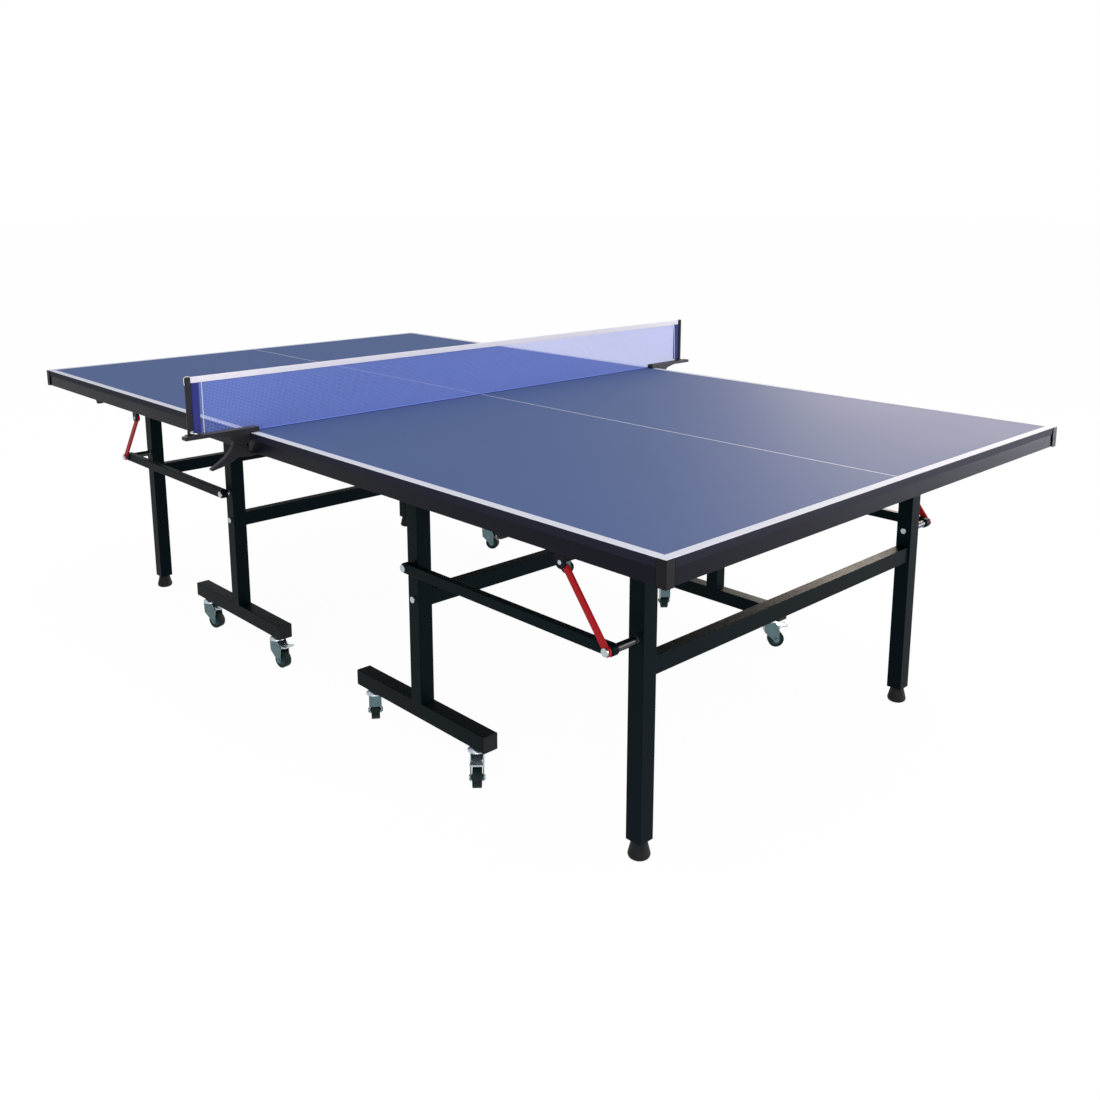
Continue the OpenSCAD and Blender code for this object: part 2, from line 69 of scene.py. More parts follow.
# %% the camera
HEADING = math.radians(46.4)
LOOK_DOWN = math.radians(11.38)
EYE_PLACE = (2.456, -2.055, 1.331)
LENS_MM = 35.8
FILM_MM = 36
FILM_SHIFT = -0.12
SIGHT_END = 100
scene = bpy.context.scene
eye = bpy.data.cameras.new("eye")
eye.lens = LENS_MM
eye.sensor_width = FILM_MM
eye.shift_y = FILM_SHIFT
eye.clip_end = SIGHT_END
camera = bpy.data.objects.new("camera", eye)
camera.location = EYE_PLACE
camera.rotation_euler = (math.pi / 2 - LOOK_DOWN, 0, HEADING)
scene.collection.objects.link(camera)
scene.camera = camera
print("camera at", EYE_PLACE, "with a", LENS_MM, "mm lens")

# %% [markdown]
# ## The net's cords
# Two thin cords tie each end of the net: one hangs from the band down to the clamp's arm, and one
# goes over the top of the post and into it. Each is a fixed length of limp white cord, so its
# line comes first, as a list of points, and a round tube is then drawn along it.

# %% a tube along a smooth line
CORD_D = 2.0 * MM
tape_low, tape_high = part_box("net_tape")
POST_Y = 909 * MM


def smooth_line(knots, steps):
    """A Catmull-Rom line through the knots, with a number of steps between each pair."""
    knots = [Vector(k) for k in knots]
    ends = [2 * knots[0] - knots[1]] + knots + [2 * knots[-1] - knots[-2]]
    line = []
    for a, b, c, d in zip(ends, ends[1:], ends[2:], ends[3:]):
        for step in range(steps):
            t = step / steps
            line.append(0.5 * (2 * b + (c - a) * t + (2 * a - 5 * b + 4 * c - d) * t * t
                               + (3 * b - a - 3 * c + d) * t ** 3))
    return line + [knots[-1]]


def pick_only(piece):
    """Selects one object and nothing else, ready for an operator."""
    bpy.ops.object.select_all(action="DESELECT")
    piece.select_set(True)
    bpy.context.view_layer.objects.active = piece


def tube_along(name, points, radius):
    """A round mesh tube along a list of points."""
    curve = bpy.data.curves.new(name, "CURVE")
    curve.dimensions = "3D"
    spline = curve.splines.new("POLY")
    spline.points.add(len(points) - 1)
    for knot, point in zip(spline.points, points):
        knot.co = (*point, 1)
    curve.bevel_depth = radius
    curve.bevel_resolution = 2
    curve.use_fill_caps = True
    drawn = bpy.data.objects.new(name, curve)
    scene.collection.objects.link(drawn)
    pick_only(drawn)
    bpy.ops.object.convert(target="MESH")
    tube = bpy.context.object
    bpy.ops.object.shade_smooth()
    return tube


# %% one hanging cord and one post cord at each end
# knots are in millimetres: x and z in the frame, y outwards from the cord's own start
HANG_Y = tape_high.y - 26 * MM
HANG = [(0.5, 0, 906), (3.6, 0.4, 900), (6.0, 1.0, 884), (7.2, 1.6, 850), (7.5, 1.9, 810),
        (7.5, 2.0, 773.5)]
OVER = [(0, -10.5, 905), (0, -8.4, 910.4), (0, -5, 913.4), (0, 0, 914.0), (0, 5, 913.3),
        (0, 8, 909.6), (0, 8.2, 902), (0, 7.6, 896), (0, 5.2, 892.2), (0, 2.0, 891)]
STEPS = 4
cords = []
for side, sign in SIDES.items():
    for name, knots, start_y in (("hanging_cord_", HANG, HANG_Y), ("post_cord_", OVER, POST_Y)):
        places = [(x * MM, sign * (start_y + y * MM), z * MM) for x, y, z in knots]
        line = smooth_line(places, STEPS)
        cord = tube_along(name + side, line, CORD_D / 2)
        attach(cord, "near_top")
        cords.append(cord)

# %% [markdown]
# ## Painting with expressions
# A shader is a sum of small nodes. Writing them as Python expressions keeps the maths readable,
# so one small class wraps an output socket and overloads the operators that are used below. Every
# other node comes from one method, which sets the node up first and then fills its sockets.


# %% a socket that can be added, multiplied and compared
def math_operator(operation, swapped=False):
    """A method that joins two values with one Math node."""
    def apply(first, second):
        pair = (second, first) if swapped else (first, second)
        return first.paint.node("ShaderNodeMath", {"operation": operation}, pair)

    return apply


class Value:
    """One output socket of a shader node."""

    def __init__(self, paint, socket):
        self.paint = paint
        self.socket = socket

    __add__ = __radd__ = math_operator("ADD")
    __mul__ = __rmul__ = math_operator("MULTIPLY")
    __sub__ = math_operator("SUBTRACT")
    __rsub__ = math_operator("SUBTRACT", swapped=True)
    __gt__ = math_operator("GREATER_THAN")
    __lt__ = math_operator("LESS_THAN")

    def size(self):
        """The value without its sign."""
        return self.paint.node("ShaderNodeMath", {"operation": "ABSOLUTE"}, (self,))

    def wave(self):
        """The sine of the value."""
        return self.paint.node("ShaderNodeMath", {"operation": "SINE"}, (self,))

    def most(self, other):
        """The larger of two values."""
        return self.paint.node("ShaderNodeMath", {"operation": "MAXIMUM"}, (self, other))

    def ramp(self, low, high):
        """0 below low, 1 above high and smooth between."""
        settings = {"interpolation_type": "SMOOTHSTEP"}
        values = {"Value": self, "From Min": low, "From Max": high}
        return self.paint.node("ShaderNodeMapRange", settings, values)


class Paint:
    """One material, built up node by node on Object coordinates."""

    def __init__(self, name):
        self.material = bpy.data.materials.new(name)
        self.material.use_nodes = True
        self.tree = self.material.node_tree
        self.tree.nodes.clear()
        self.place = self.node("ShaderNodeTexCoord", output="Object")
        self.x = self.node("ShaderNodeSeparateXYZ", {}, (self.place,), output="X")
        self.y = self.node("ShaderNodeSeparateXYZ", {}, (self.place,), output="Y")
        self.z = self.node("ShaderNodeSeparateXYZ", {}, (self.place,), output="Z")

    def node(self, kind, settings=None, values=(), output=0):
        """Any node: its settings first, then its sockets, each from a number or a Value."""
        made = self.tree.nodes.new(kind)
        for name, setting in (settings or {}).items():
            setattr(made, name, setting)
        named = values.items() if isinstance(values, dict) else enumerate(values)
        for key, value in named:
            socket = made.inputs[key]
            if isinstance(value, Value):
                self.tree.links.new(value.socket, socket)
            else:
                socket.default_value = value
        return Value(self, made.outputs[output])

    def noise(self, scale, detail=2.0, roughness=0.5, stretch=(1, 1, 1)):
        """Smooth noise: a larger scale is finer, and a small stretch draws it out."""
        place = self.node("ShaderNodeMapping", {}, {"Vector": self.place, "Scale": stretch})
        values = {"Vector": place, "Scale": scale, "Detail": detail, "Roughness": roughness}
        return self.node("ShaderNodeTexNoise", {}, values, output=0)

    def mix(self, share, first, second):
        """A colour between two colours."""
        settings = {"data_type": "RGBA"}
        return self.node("ShaderNodeMix", settings, {0: share, 6: first, 7: second}, output=2)

    def bump(self, height, strength, distance):
        """A normal that is raised by height, up to a distance in metres."""
        values = {"Height": height, "Strength": strength, "Distance": distance}
        return self.node("ShaderNodeBump", {}, values)

    def finish(self, **sockets):
        """The surface itself: sockets are named as the shader's, with _ for a space."""
        values = {name.replace("_", " "): value for name, value in sockets.items()}
        surface = self.node("ShaderNodeBsdfPrincipled", {}, values)
        self.node_end(surface)
        return self.material

    def node_end(self, surface):
        """Joins a finished surface to the material's output."""
        end = self.tree.nodes.new("ShaderNodeOutputMaterial")
        self.tree.links.new(surface.socket, end.inputs["Surface"])


def srgb(red, green, blue):
    """A colour given as it looks on a screen, 0 to 255, as the shader wants it."""
    parts = [value / 255 for value in (red, green, blue)]
    return tuple(p / 12.92 if p <= 0.04045 else ((p + 0.055) / 1.055) ** 2.4 for p in parts) + (1,)


# %% [markdown]
# ## Floor and light
# The floor and the background are white. A large floor would also be lit unevenly, so the camera
# sees most of its white directly and only part of it as lit paint: that part keeps the soft
# shadow under the table. The light is a white room with a few large soft panels. Two of them are
# seen only as reflections: a warm window that gleams on the playing surface, and a rim light that
# picks out the end apron.

# %% the floor
FLOOR_HALF = 60
FLOOR_DROP = 0.5 * MM
FLOOR_GLOW = 0.94
GLOW_STRENGTH = 1.03
bpy.ops.mesh.primitive_plane_add(size=2 * FLOOR_HALF, location=(0, 0, -FLOOR_DROP))
floor = bpy.context.object
floor.name = "floor"
white = Paint("studio_white")
seen_straight = white.node("ShaderNodeLightPath", output="Is Camera Ray")
mirrored = white.node("ShaderNodeLightPath", output="Is Glossy Ray")
through = white.node("ShaderNodeLightPath", output="Is Transmission Ray")
lit = white.node("ShaderNodeBsdfDiffuse", {}, {"Color": (0.9, 0.9, 0.9, 1)})
glow = white.node("ShaderNodeEmission", {}, {"Color": (1, 1, 1, 1), "Strength": GLOW_STRENGTH})
seen_share = seen_straight.most(mirrored).most(through) * FLOOR_GLOW
white.node_end(white.node("ShaderNodeMixShader", {}, (seen_share, lit, glow)))
floor.data.materials.append(white.material)
print("floor", 2 * FLOOR_HALF, "m wide")

# %% the white room
scene.view_settings.view_transform = "Standard"
room = bpy.data.worlds.new("white_room")
scene.world = room
room.use_nodes = True
tree = room.node_tree
tree.nodes.clear()
ROOM_LIGHT = 0.42
paths = tree.nodes.new("ShaderNodeLightPath")
strength = tree.nodes.new("ShaderNodeMapRange")
strength.inputs["To Min"].default_value = ROOM_LIGHT
strength.inputs["To Max"].default_value = 1.0
seen = paths.outputs["Is Camera Ray"]
for output in ("Is Glossy Ray", "Is Transmission Ray"):
    either = tree.nodes.new("ShaderNodeMath")
    either.operation = "MAXIMUM"
    tree.links.new(seen, either.inputs[0])
    tree.links.new(paths.outputs[output], either.inputs[1])
    seen = either.outputs[0]
sky = tree.nodes.new("ShaderNodeBackground")
sky.inputs["Color"].default_value = (1, 1, 1, 1)
room_end = tree.nodes.new("ShaderNodeOutputWorld")
tree.links.new(seen, strength.inputs["Value"])
tree.links.new(strength.outputs["Result"], sky.inputs["Strength"])
tree.links.new(sky.outputs["Background"], room_end.inputs["Surface"])
print("room light", ROOM_LIGHT)


# %% the lamps
def soft_panel(name, place, target, width, height, watts, colour=(1, 1, 1)):
    """A large soft lamp at a place, facing a target."""
    lamp = bpy.data.lights.new(name, "AREA")
    lamp.shape = "RECTANGLE"
    lamp.size = width
    lamp.size_y = height
    lamp.energy = watts
    lamp.color = colour
    panel = bpy.data.objects.new(name, lamp)
    panel.location = place
    panel.rotation_euler = (Vector(target) - Vector(place)).to_track_quat("-Z", "Y").to_euler()
    panel.visible_camera = False
    scene.collection.objects.link(panel)
    return panel


PALE_WARM = (1, 0.95, 0.9)
WARM = (1, 0.85, 0.7)
COOL = (0.86, 0.87, 1)
soft_panel("ceiling_panel", (0.3, -0.3, 4.4), (0, 0, 0.7), 4.5, 4.5, 55)
soft_panel("front_panel", (3.4, -3.6, 1.6), (0.2, -0.3, 0.4), 2.5, 1.8, 70)
soft_panel("side_panel", (3.9, 2.2, 1.3), (0.2, 0.3, 0.78), 1.8, 1.2, 48, PALE_WARM)
window = soft_panel("window_panel", (-0.3, 4.5, 1.85), (1.0, 0.2, 0.76), 3.0, 1.8, 240, WARM)
window.visible_diffuse = False
rim = soft_panel("rim_panel", (2.9, 3.6, 0.7), (1.37, 0.4, 0.74), 1.6, 1.0, 70, COOL)
rim.visible_diffuse = False
print(len(bpy.data.lights), "lamps")

# %% [markdown]
# ## The finishes
# Most of the frame is square steel tube with a black powder coat. Such a coat is never quite
# flat: it has a fine orange peel and small changes of gloss. The playing surface is matt paint
# rolled on board, with white lines. Small fittings are zinc plate, moulded black plastic and
# rubber, the braces are red, and the net is blue thread under a white canvas band. Pictures of
# these finishes could be wrapped round the pieces, but noise on a piece's own coordinates needs
# no unwrapping, leaves no seams, and moves with the piece.


# %% steel with a powder coat
def powder_coat(name, colour, roughness, scuff, shine, tint=(1, 1, 1)):
    """shine and tint are how much the coat reflects, and in what colour."""
    coat = Paint(name)
    peel = coat.noise(700, 2)
    cloud = coat.noise(9, 3)
    scratches = coat.noise(60, 6, 0.7, (1, 1, 0.35)).ramp(0.66, 0.74)
    rub = scratches * coat.noise(7, 2).ramp(0.5, 0.62)
    shade = coat.mix(cloud * 0.5, colour, scuff)
    return coat.finish(
        Base_Color=coat.mix(rub * 0.35, shade, scuff),
        Roughness=roughness + cloud * 0.14 + rub * 0.12,
        Normal=coat.bump(peel + rub * 0.3, 0.35, 0.0003),
        Specular_IOR_Level=shine,
        Specular_Tint=(*tint, 1),
    )


COLD_BLACK = (0.55, 0.85, 1)
BLUE_BLACK = (0.8, 0.82, 1)
black_coat = powder_coat("black_powder_coat", srgb(3, 12, 16), 0.38, srgb(14, 26, 30), 0.045,
                         COLD_BLACK)
apron_coat = powder_coat("apron_powder_coat", srgb(5, 6, 14), 0.32, srgb(20, 21, 34), 0.09,
                         BLUE_BLACK)
red_coat = powder_coat("red_powder_coat", srgb(166, 10, 20), 0.34, srgb(186, 40, 44), 0.12)
arm_coat = powder_coat("dark_grey_coat", srgb(24, 24, 30), 0.34, srgb(62, 62, 70), 0.14)
print("coats", [coat.name for coat in (black_coat, apron_coat, red_coat, arm_coat)])

# %% [markdown]
# ## Plastic and rubber
# The corner guards, the caps, the feet and the wheels are moulded. A mould leaves a fine even
# grain, which is too small to model and is left to a bump. The melt also leaves soft flow marks,
# so a broader noise changes the colour and the gloss a little.


# %% moulded plastic and rubber
def moulded(name, colour, roughness, grain, mark):
    """grain is how deep the moulded grain is, in metres, and mark the colour of its flow marks."""
    skin = Paint(name)
    fine = skin.noise(1400, 3, 0.6)
    flow = skin.noise(45, 4, 0.6)
    return skin.finish(
        Base_Color=skin.mix(flow.ramp(0.45, 0.8) * 0.4, colour, mark),
        Roughness=roughness + flow * 0.15,
        Normal=skin.bump(fine + flow * 0.4, 0.4, grain),
        Specular_IOR_Level=0.15,
    )


guard_plastic = moulded("guard_plastic", srgb(7, 7, 13), 0.42, 0.0003, srgb(24, 24, 32))
cap_plastic = moulded("cap_plastic", srgb(14, 20, 23), 0.45, 0.0003, srgb(38, 44, 46))
foot_rubber = moulded("foot_rubber", srgb(20, 24, 27), 0.55, 0.0004, srgb(52, 56, 58))
tread_rubber = moulded("tread_rubber", srgb(8, 26, 27), 0.5, 0.0004, srgb(30, 56, 56))
hub_plastic = moulded("hub_plastic", srgb(26, 58, 58), 0.35, 0.0002, srgb(58, 92, 92))
print("mouldings", [skin.name for skin in (guard_plastic, cap_plastic, foot_rubber)])
print("wheels", tread_rubber.name, hub_plastic.name)


# %% [markdown]
# ## Zinc plate
# Screws and bolts are plated bright. A caster's pressed fork is plated dull and looks greenish
# grey, and the race it turns on, at its top, is painted bright above a height: a painted highlight
# where the light catches the top. The long bolts beside the outer legs carry a black spacer. These
# could be materials of their own on separate faces, but the changes fall at a known place, so each
# is a mask: a height, and a distance from the table's middle line.


# %% zinc-plated steel
def plated(name, bright, dull, highlight_z=None, spacer=None):
    """Dull, with a painted highlight above a height and a black spacer between two distances."""
    zinc = Paint(name)
    spangle = zinc.node("ShaderNodeTexVoronoi", {}, {"Vector": zinc.place, "Scale": 420}, output=0)
    haze = zinc.noise(80, 4, 0.6)
    streak = zinc.noise(30, 3, 0.6, (1, 1, 0.3))
    colour = bright
    # above this height the zinc is painted bright: a painted highlight on the caster's race
    if highlight_z:
        colour = zinc.mix(zinc.z > highlight_z, zinc.mix(haze, dull, srgb(64, 86, 90)), bright)
    colour = zinc.mix(streak * 0.35, colour, dull)
    metal = 0.92
    if spacer:
        start, end = spacer
        covered = (zinc.y.size() > start) * (zinc.y.size() < end)
        colour = zinc.mix(covered, colour, srgb(14, 18, 22))
        metal = (1 - covered) * metal
    return zinc.finish(
        Base_Color=colour,
        Metallic=metal,
        Roughness=0.2 + haze * 0.16,
        Normal=zinc.bump(spangle + haze, 0.12, 0.0002),
    )


# the forks' race is painted bright above this height, a painted highlight
RACE_HIGHLIGHT_Z = 80 * MM
SPACER = (545 * MM, 600 * MM)
BRIGHT = srgb(190, 198, 204)
GREY = srgb(126, 142, 148)
bright_zinc = plated("bright_zinc", BRIGHT, GREY)
fork_zinc = plated("fork_zinc", srgb(196, 204, 214), srgb(104, 126, 131), highlight_z=RACE_HIGHLIGHT_Z)
bolt_zinc = plated("bolt_zinc", BRIGHT, GREY, spacer=SPACER)
print("bright above", RACE_HIGHLIGHT_Z, "m on the forks, black between", SPACER, "m on the bolts")

# %% [markdown]
# ## The playing surface
# The paint and the lines are one material, because real lines are rolled onto the same board.
# The masks measure the distance from the board's edges in metres: a line is 20 mm wide along the
# sides and ends, and 3 mm down the middle. Below the top face the board's edge is sealed dark.

# %% paint with white lines
SIDE_LINE = 20 * MM
CENTRE_LINE = 3 * MM
BOARD_EDGE = 0.8 * MM
board_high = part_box("near_panel")[1]
END_X = board_high.x
HALF_W = board_high.y
TOP_Z = board_high.z

surface = Paint("playing_surface")
on_top = surface.z > TOP_Z - BOARD_EDGE
side_line = surface.y.size() > HALF_W - SIDE_LINE
end_line = surface.x.size() > END_X - SIDE_LINE
centre_line = surface.y.size() < CENTRE_LINE / 2
lines = side_line.most(end_line).most(centre_line)
roll = surface.noise(3.0, 4, 0.6)
peel = surface.noise(900, 2)
ball_marks = surface.noise(38, 5, 0.75).ramp(0.64, 0.78) * surface.noise(4, 2).ramp(0.42, 0.7)
blue = surface.mix(roll, srgb(75, 97, 146), srgb(83, 104, 153))
blue = surface.mix(ball_marks * 0.12, blue, srgb(150, 158, 184))
line_white = surface.mix(roll, srgb(232, 234, 246), srgb(222, 225, 240))
painted = surface.mix(lines, blue, line_white)
edge_seal = surface.mix(roll, srgb(20, 21, 33), srgb(32, 34, 50))
playing_surface = surface.finish(
    Base_Color=surface.mix(on_top, edge_seal, painted),
    Roughness=0.62 + roll * 0.06 + ball_marks * 0.05 - lines * 0.05,
    Normal=surface.bump(peel + lines * 0.6, 0.25, 0.0002),
    Specular_IOR_Level=0.08,
)
print("board", round(2 * END_X, 3), "x", round(2 * HALF_W, 3), "m, top at", round(TOP_Z, 3))

# %% [markdown]
# ## Cloth for the net
# The mesh is real geometry, thread by thread, so its material only needs the twist of the thread.
# The canvas band and the sleeves are woven: two crossed waves on the piece's own coordinates make
# an over-and-under weave.


# %% woven cloth
def woven(name, colour, shade, pitch, depth):
    """pitch is the distance between threads and depth the weave's height, in metres."""
    cloth = Paint(name)
    turns = 2 * math.pi / pitch
    across = (cloth.y * turns).wave()
    along = (cloth.z * turns).wave()
    weave = across * along * 0.5 + 0.5
    dust = cloth.noise(25, 4, 0.6)
    return cloth.finish(
        Base_Color=cloth.mix(weave * 0.5 + dust * 0.4, colour, shade),
        Roughness=0.82 + dust * 0.12,
        Normal=cloth.bump(weave, 0.6, depth),
        Sheen_Weight=0.25,
        Sheen_Roughness=0.5,
    )


WEAVE_D = 0.2 * MM
tape_canvas = woven("white_canvas", srgb(253, 250, 255), srgb(238, 235, 250), 1.2 * MM, WEAVE_D)
sleeve_cloth = woven("navy_sleeve", srgb(40, 48, 142), srgb(26, 34, 104), 1.4 * MM, WEAVE_D)
cord_cloth = woven("white_cord", srgb(252, 250, 255), srgb(222, 222, 234), 1.0 * MM, WEAVE_D)
print("cloths", [cloth.name for cloth in (tape_canvas, sleeve_cloth, cord_cloth)])

# %% thread for the mesh
TWIST = 1600
thread = Paint("net_thread")
twist = (thread.y * TWIST + thread.z * TWIST).wave() * 0.5 + 0.5
fluff = thread.noise(300, 3)
net_thread = thread.finish(
    Base_Color=thread.mix(twist * 0.4 + fluff * 0.3, srgb(126, 154, 255), srgb(106, 132, 244)),
    Roughness=0.75 + fluff * 0.15,
    Normal=thread.bump(twist, 0.5, 0.0002),
    Sheen_Weight=0.3,
)
print(len(bpy.data.materials), "materials")

# %% [markdown]
# ## Dressing the steel
# Sharp CAD edges look wrong because real edges are rounded and catch the light. Each CAD piece
# keeps its shape, so a copy of it is merged into one clean mesh, its flat areas are joined into
# single faces, and a narrow bevel is run along every real edge. The copy then stands for the CAD
# piece and rides on the same body.


# %% helpers that finish a piece
def set_out(piece, body, material, slot, *stands_for):
    """Gives a finished piece its material and its body; its slot is not used."""
    piece.data.materials.clear()
    piece.data.materials.append(material)
    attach(piece, body)
    if stands_for:
        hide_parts(*stands_for)
    return piece


body_nodes = frame["record"]["behaviour"]["bodies"]
node_body = {node: body for body, nodes in body_nodes.items() for node in nodes}
node_slot = {part["node"]: part["material_slot"] for part in frame["record"]["subparts"]}


def apply_modifiers(piece):
    """Turns every modifier on the piece into mesh."""
    pick_only(piece)
    for modifier in list(piece.modifiers):
        bpy.ops.object.modifier_apply(modifier=modifier.name)


def round_edges(piece, radius, segments, sharp, smooth, clamp=True):
    """Bevels the edges sharper than one angle, then shades smooth up to another, in degrees."""
    rounding = piece.modifiers.new("rounding", "BEVEL")
    rounding.width = radius
    rounding.segments = segments
    rounding.limit_method = "ANGLE"
    rounding.angle_limit = math.radians(sharp)
    rounding.use_clamp_overlap = clamp
    apply_modifiers(piece)
    bpy.ops.object.shade_smooth_by_angle(angle=math.radians(smooth))


def even_light(piece):
    """Lets big flat faces set the shading, so that a rounded edge doesn't shade its neighbours."""
    weights = piece.modifiers.new("even_light", "WEIGHTED_NORMAL")
    weights.keep_sharp = True
    weights.weight = 100
    apply_modifiers(piece)


# %% a rounded copy of a CAD node
MERGE_GAP = 0.01 * MM
FLAT_ANGLE = math.radians(1)


def dress(node, material, radius, segments=2):
    """Makes the rounded copy of one CAD node and sets it out in the node's place."""
    source = frame["nodes"][node]
    piece = bpy.data.objects.new(node + "_dressed", source.data.copy())
    scene.collection.objects.link(piece)
    pick_only(piece)
    bpy.ops.object.mode_set(mode="EDIT")
    bpy.ops.mesh.select_all(action="SELECT")
    bpy.ops.mesh.remove_doubles(threshold=MERGE_GAP)
    bpy.ops.mesh.dissolve_limited(angle_limit=FLAT_ANGLE)
    bpy.ops.object.mode_set(mode="OBJECT")
    round_edges(piece, radius, segments, 40, 40, clamp=False)
    even_light(piece)
    return set_out(piece, node_body[node], material, node_slot[node], node)


# %% both halves' boards, tubes and bolts
for half in HALVES:
    dress(half + "_panel", playing_surface, 0.9 * MM)
    dress(half + "_subframe", apron_coat, 0.5 * MM)
    dress(half + "_guards", guard_plastic, 1.4 * MM, 3)
    dress(half + "_top_bolts", bright_zinc, 0.5 * MM)
    for side in SIDES:
        dress(f"{half}_wheeled_leg_{side}", black_coat, 1.4 * MM)
        dress(f"{half}_link_{side}", black_coat, 1.5 * MM)
        dress(f"{half}_brace_{side}", red_coat, 0.9 * MM)
        dress(f"{half}_foot_{side}", foot_rubber, 1.2 * MM, 3)
    dress(half + "_post_bar", black_coat, 1.0 * MM)
    dress(half + "_base_caps", cap_plastic, 1.0 * MM)
    dress(half + "_base_bolts", bright_zinc, 0.6 * MM)
    dress(half + "_leg_frame", black_coat, 1.2 * MM)
    dress(half + "_leg_bolts", bolt_zinc, 0.6 * MM)

# %% [markdown]
# ## The casters
# A caster is a pressed and plated fork that swivels under the foot tube, a rubber-tyred wheel on
# an axle, and on some of them a plated brake pedal. The forks and pedals keep their CAD shape.
# The wheel is modelled from a cylinder: its sides are inset into a rim, a boss stands out round
# the axle, and the tread's edges are rounded with a bevel. All eight wheels are alike, so one is
# made at the origin and copied to every axle, each copy with its own mesh.

# %% forks and pedals
for node in sorted(frame["nodes"]):
    if "_fork_" in node:
        dress(node, fork_zinc, 0.5 * MM)
    if "_pedal_" in node:
        dress(node, bright_zinc, 0.6 * MM)


# %% one wheel, copied to every caster
def pick_faces(piece, test):
    """Selects only the faces whose centre and normal pass a test, in edit mode."""
    bpy.ops.object.mode_set(mode="EDIT")
    bpy.ops.mesh.select_mode(type="FACE")
    bpy.ops.mesh.select_all(action="DESELECT")
    mesh = bmesh.from_edit_mesh(piece.data)
    for face in mesh.faces:
        face.select_set(bool(test(face.calc_center_median(), face.normal)))
    bmesh.update_edit_mesh(piece.data)


wheel_low, wheel_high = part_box("near_wheel_outer_left")
WHEEL_R = (wheel_high.z - wheel_low.z) / 2
WHEEL_W = 22 * MM
HUB_W = 26 * MM
TYRE_SIDE = 5 * MM
GROOVE_W = 1.5 * MM
GROOVE_D = 2.5 * MM
WEB_W = 8.5 * MM
WEB_RISE = 1 * MM
BOSS_EDGE = 1 * MM
TREAD_EDGE = 2.2 * MM
RIM_R = WHEEL_R - 6 * MM
bpy.ops.mesh.primitive_cylinder_add(vertices=48, radius=WHEEL_R, depth=WHEEL_W, location=(0, 0, 0))
wheel = bpy.context.object
pick_faces(wheel, lambda centre, normal: abs(normal.z) > 0.9)
bpy.ops.mesh.inset(thickness=TYRE_SIDE, depth=0)
bpy.ops.mesh.inset(thickness=GROOVE_W, depth=-GROOVE_D)
bpy.ops.mesh.inset(thickness=WEB_W, depth=WEB_RISE)
bpy.ops.mesh.inset(thickness=BOSS_EDGE, depth=(HUB_W - WHEEL_W) / 2 + GROOVE_D - WEB_RISE)
bpy.ops.object.mode_set(mode="OBJECT")
round_edges(wheel, TREAD_EDGE, 3, 60, 35)
wheel.data.materials.append(tread_rubber)
wheel.data.materials.append(hub_plastic)
for face in wheel.data.polygons:
    if Vector(face.center[:2] + (0,)).length < RIM_R:
        face.material_index = 1
print("wheel", len(wheel.data.polygons), "faces")

# %% a wheel on every axle
wheel_nodes = [node for node in sorted(frame["nodes"]) if "_wheel_" in node]
for node in wheel_nodes:
    axle = joints[node.replace("_wheel_", "_roll_")]
    turn = Vector(axle["axis"]).to_track_quat("Z", "Y").to_matrix().to_4x4()
    copy = bpy.data.objects.new(node + "_tyre", wheel.data.copy())
    copy.data.transform(Matrix.Translation(axle["pos_m"]) @ turn)
    scene.collection.objects.link(copy)
    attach(copy, node_body[node])
    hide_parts(node)
bpy.data.objects.remove(wheel)
print(len(wheel_nodes), "wheels")

# %% [markdown]
# ## The net
# The mesh is knitted from thin blue threads. One flat sheet with a see-through pattern could stand
# for it, but real threads hold up close by and from the side. So one upright thread and one level
# thread are made, repeated with an Array modifier at the mesh's pitch, and joined with a thicker
# hem. The cloth hangs from the band, so it bulges very slightly between the posts.

# %% the threads
PITCH = 3.6 * MM
THREAD_W = 0.75 * MM
THREAD_T = 0.6 * MM
HEM_D = 2 * MM
LEVEL_CUTS = 59
UPRIGHT_CUTS = 3
SLEEVE_W = 19 * MM
Y, Z = 1, 2
net_low, net_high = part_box("net_cloth")
MESH_END = net_high.y - SLEEVE_W - 1 * MM
MESH_TOP = net_high.z
MESH_BOTTOM = net_low.z
MESH_H = MESH_TOP - MESH_BOTTOM
rows = round(MESH_H / PITCH)
columns = round(2 * MESH_END / PITCH)


def edges_along(mesh, axis):
    """The edges that run parallel to one axis, Y or Z."""
    runs = {edge: edge.verts[1].co - edge.verts[0].co for edge in mesh.edges}
    return [edge for edge, run in runs.items() if abs(run[axis]) > 0.99 * run.length]


def thread_run(name, size, centre, axis, cuts, step, count):
    """A row of parallel threads: one slim bar, cut along its length and repeated."""
    bpy.ops.mesh.primitive_cube_add(size=1, location=(0, 0, 0))
    bar = bpy.context.object
    bar.name = name
    bar.scale = size
    bar.location = centre
    bpy.ops.object.transform_apply(location=True, rotation=False, scale=True)
    mesh = bmesh.new()
    mesh.from_mesh(bar.data)
    bmesh.ops.subdivide_edges(mesh, edges=edges_along(mesh, axis), cuts=cuts)
    mesh.to_mesh(bar.data)
    mesh.free()
    repeat = bar.modifiers.new("repeat", "ARRAY")
    repeat.use_relative_offset = False
    repeat.use_constant_offset = True
    repeat.constant_offset_displace = step
    repeat.count = count
    apply_modifiers(bar)
    return bar


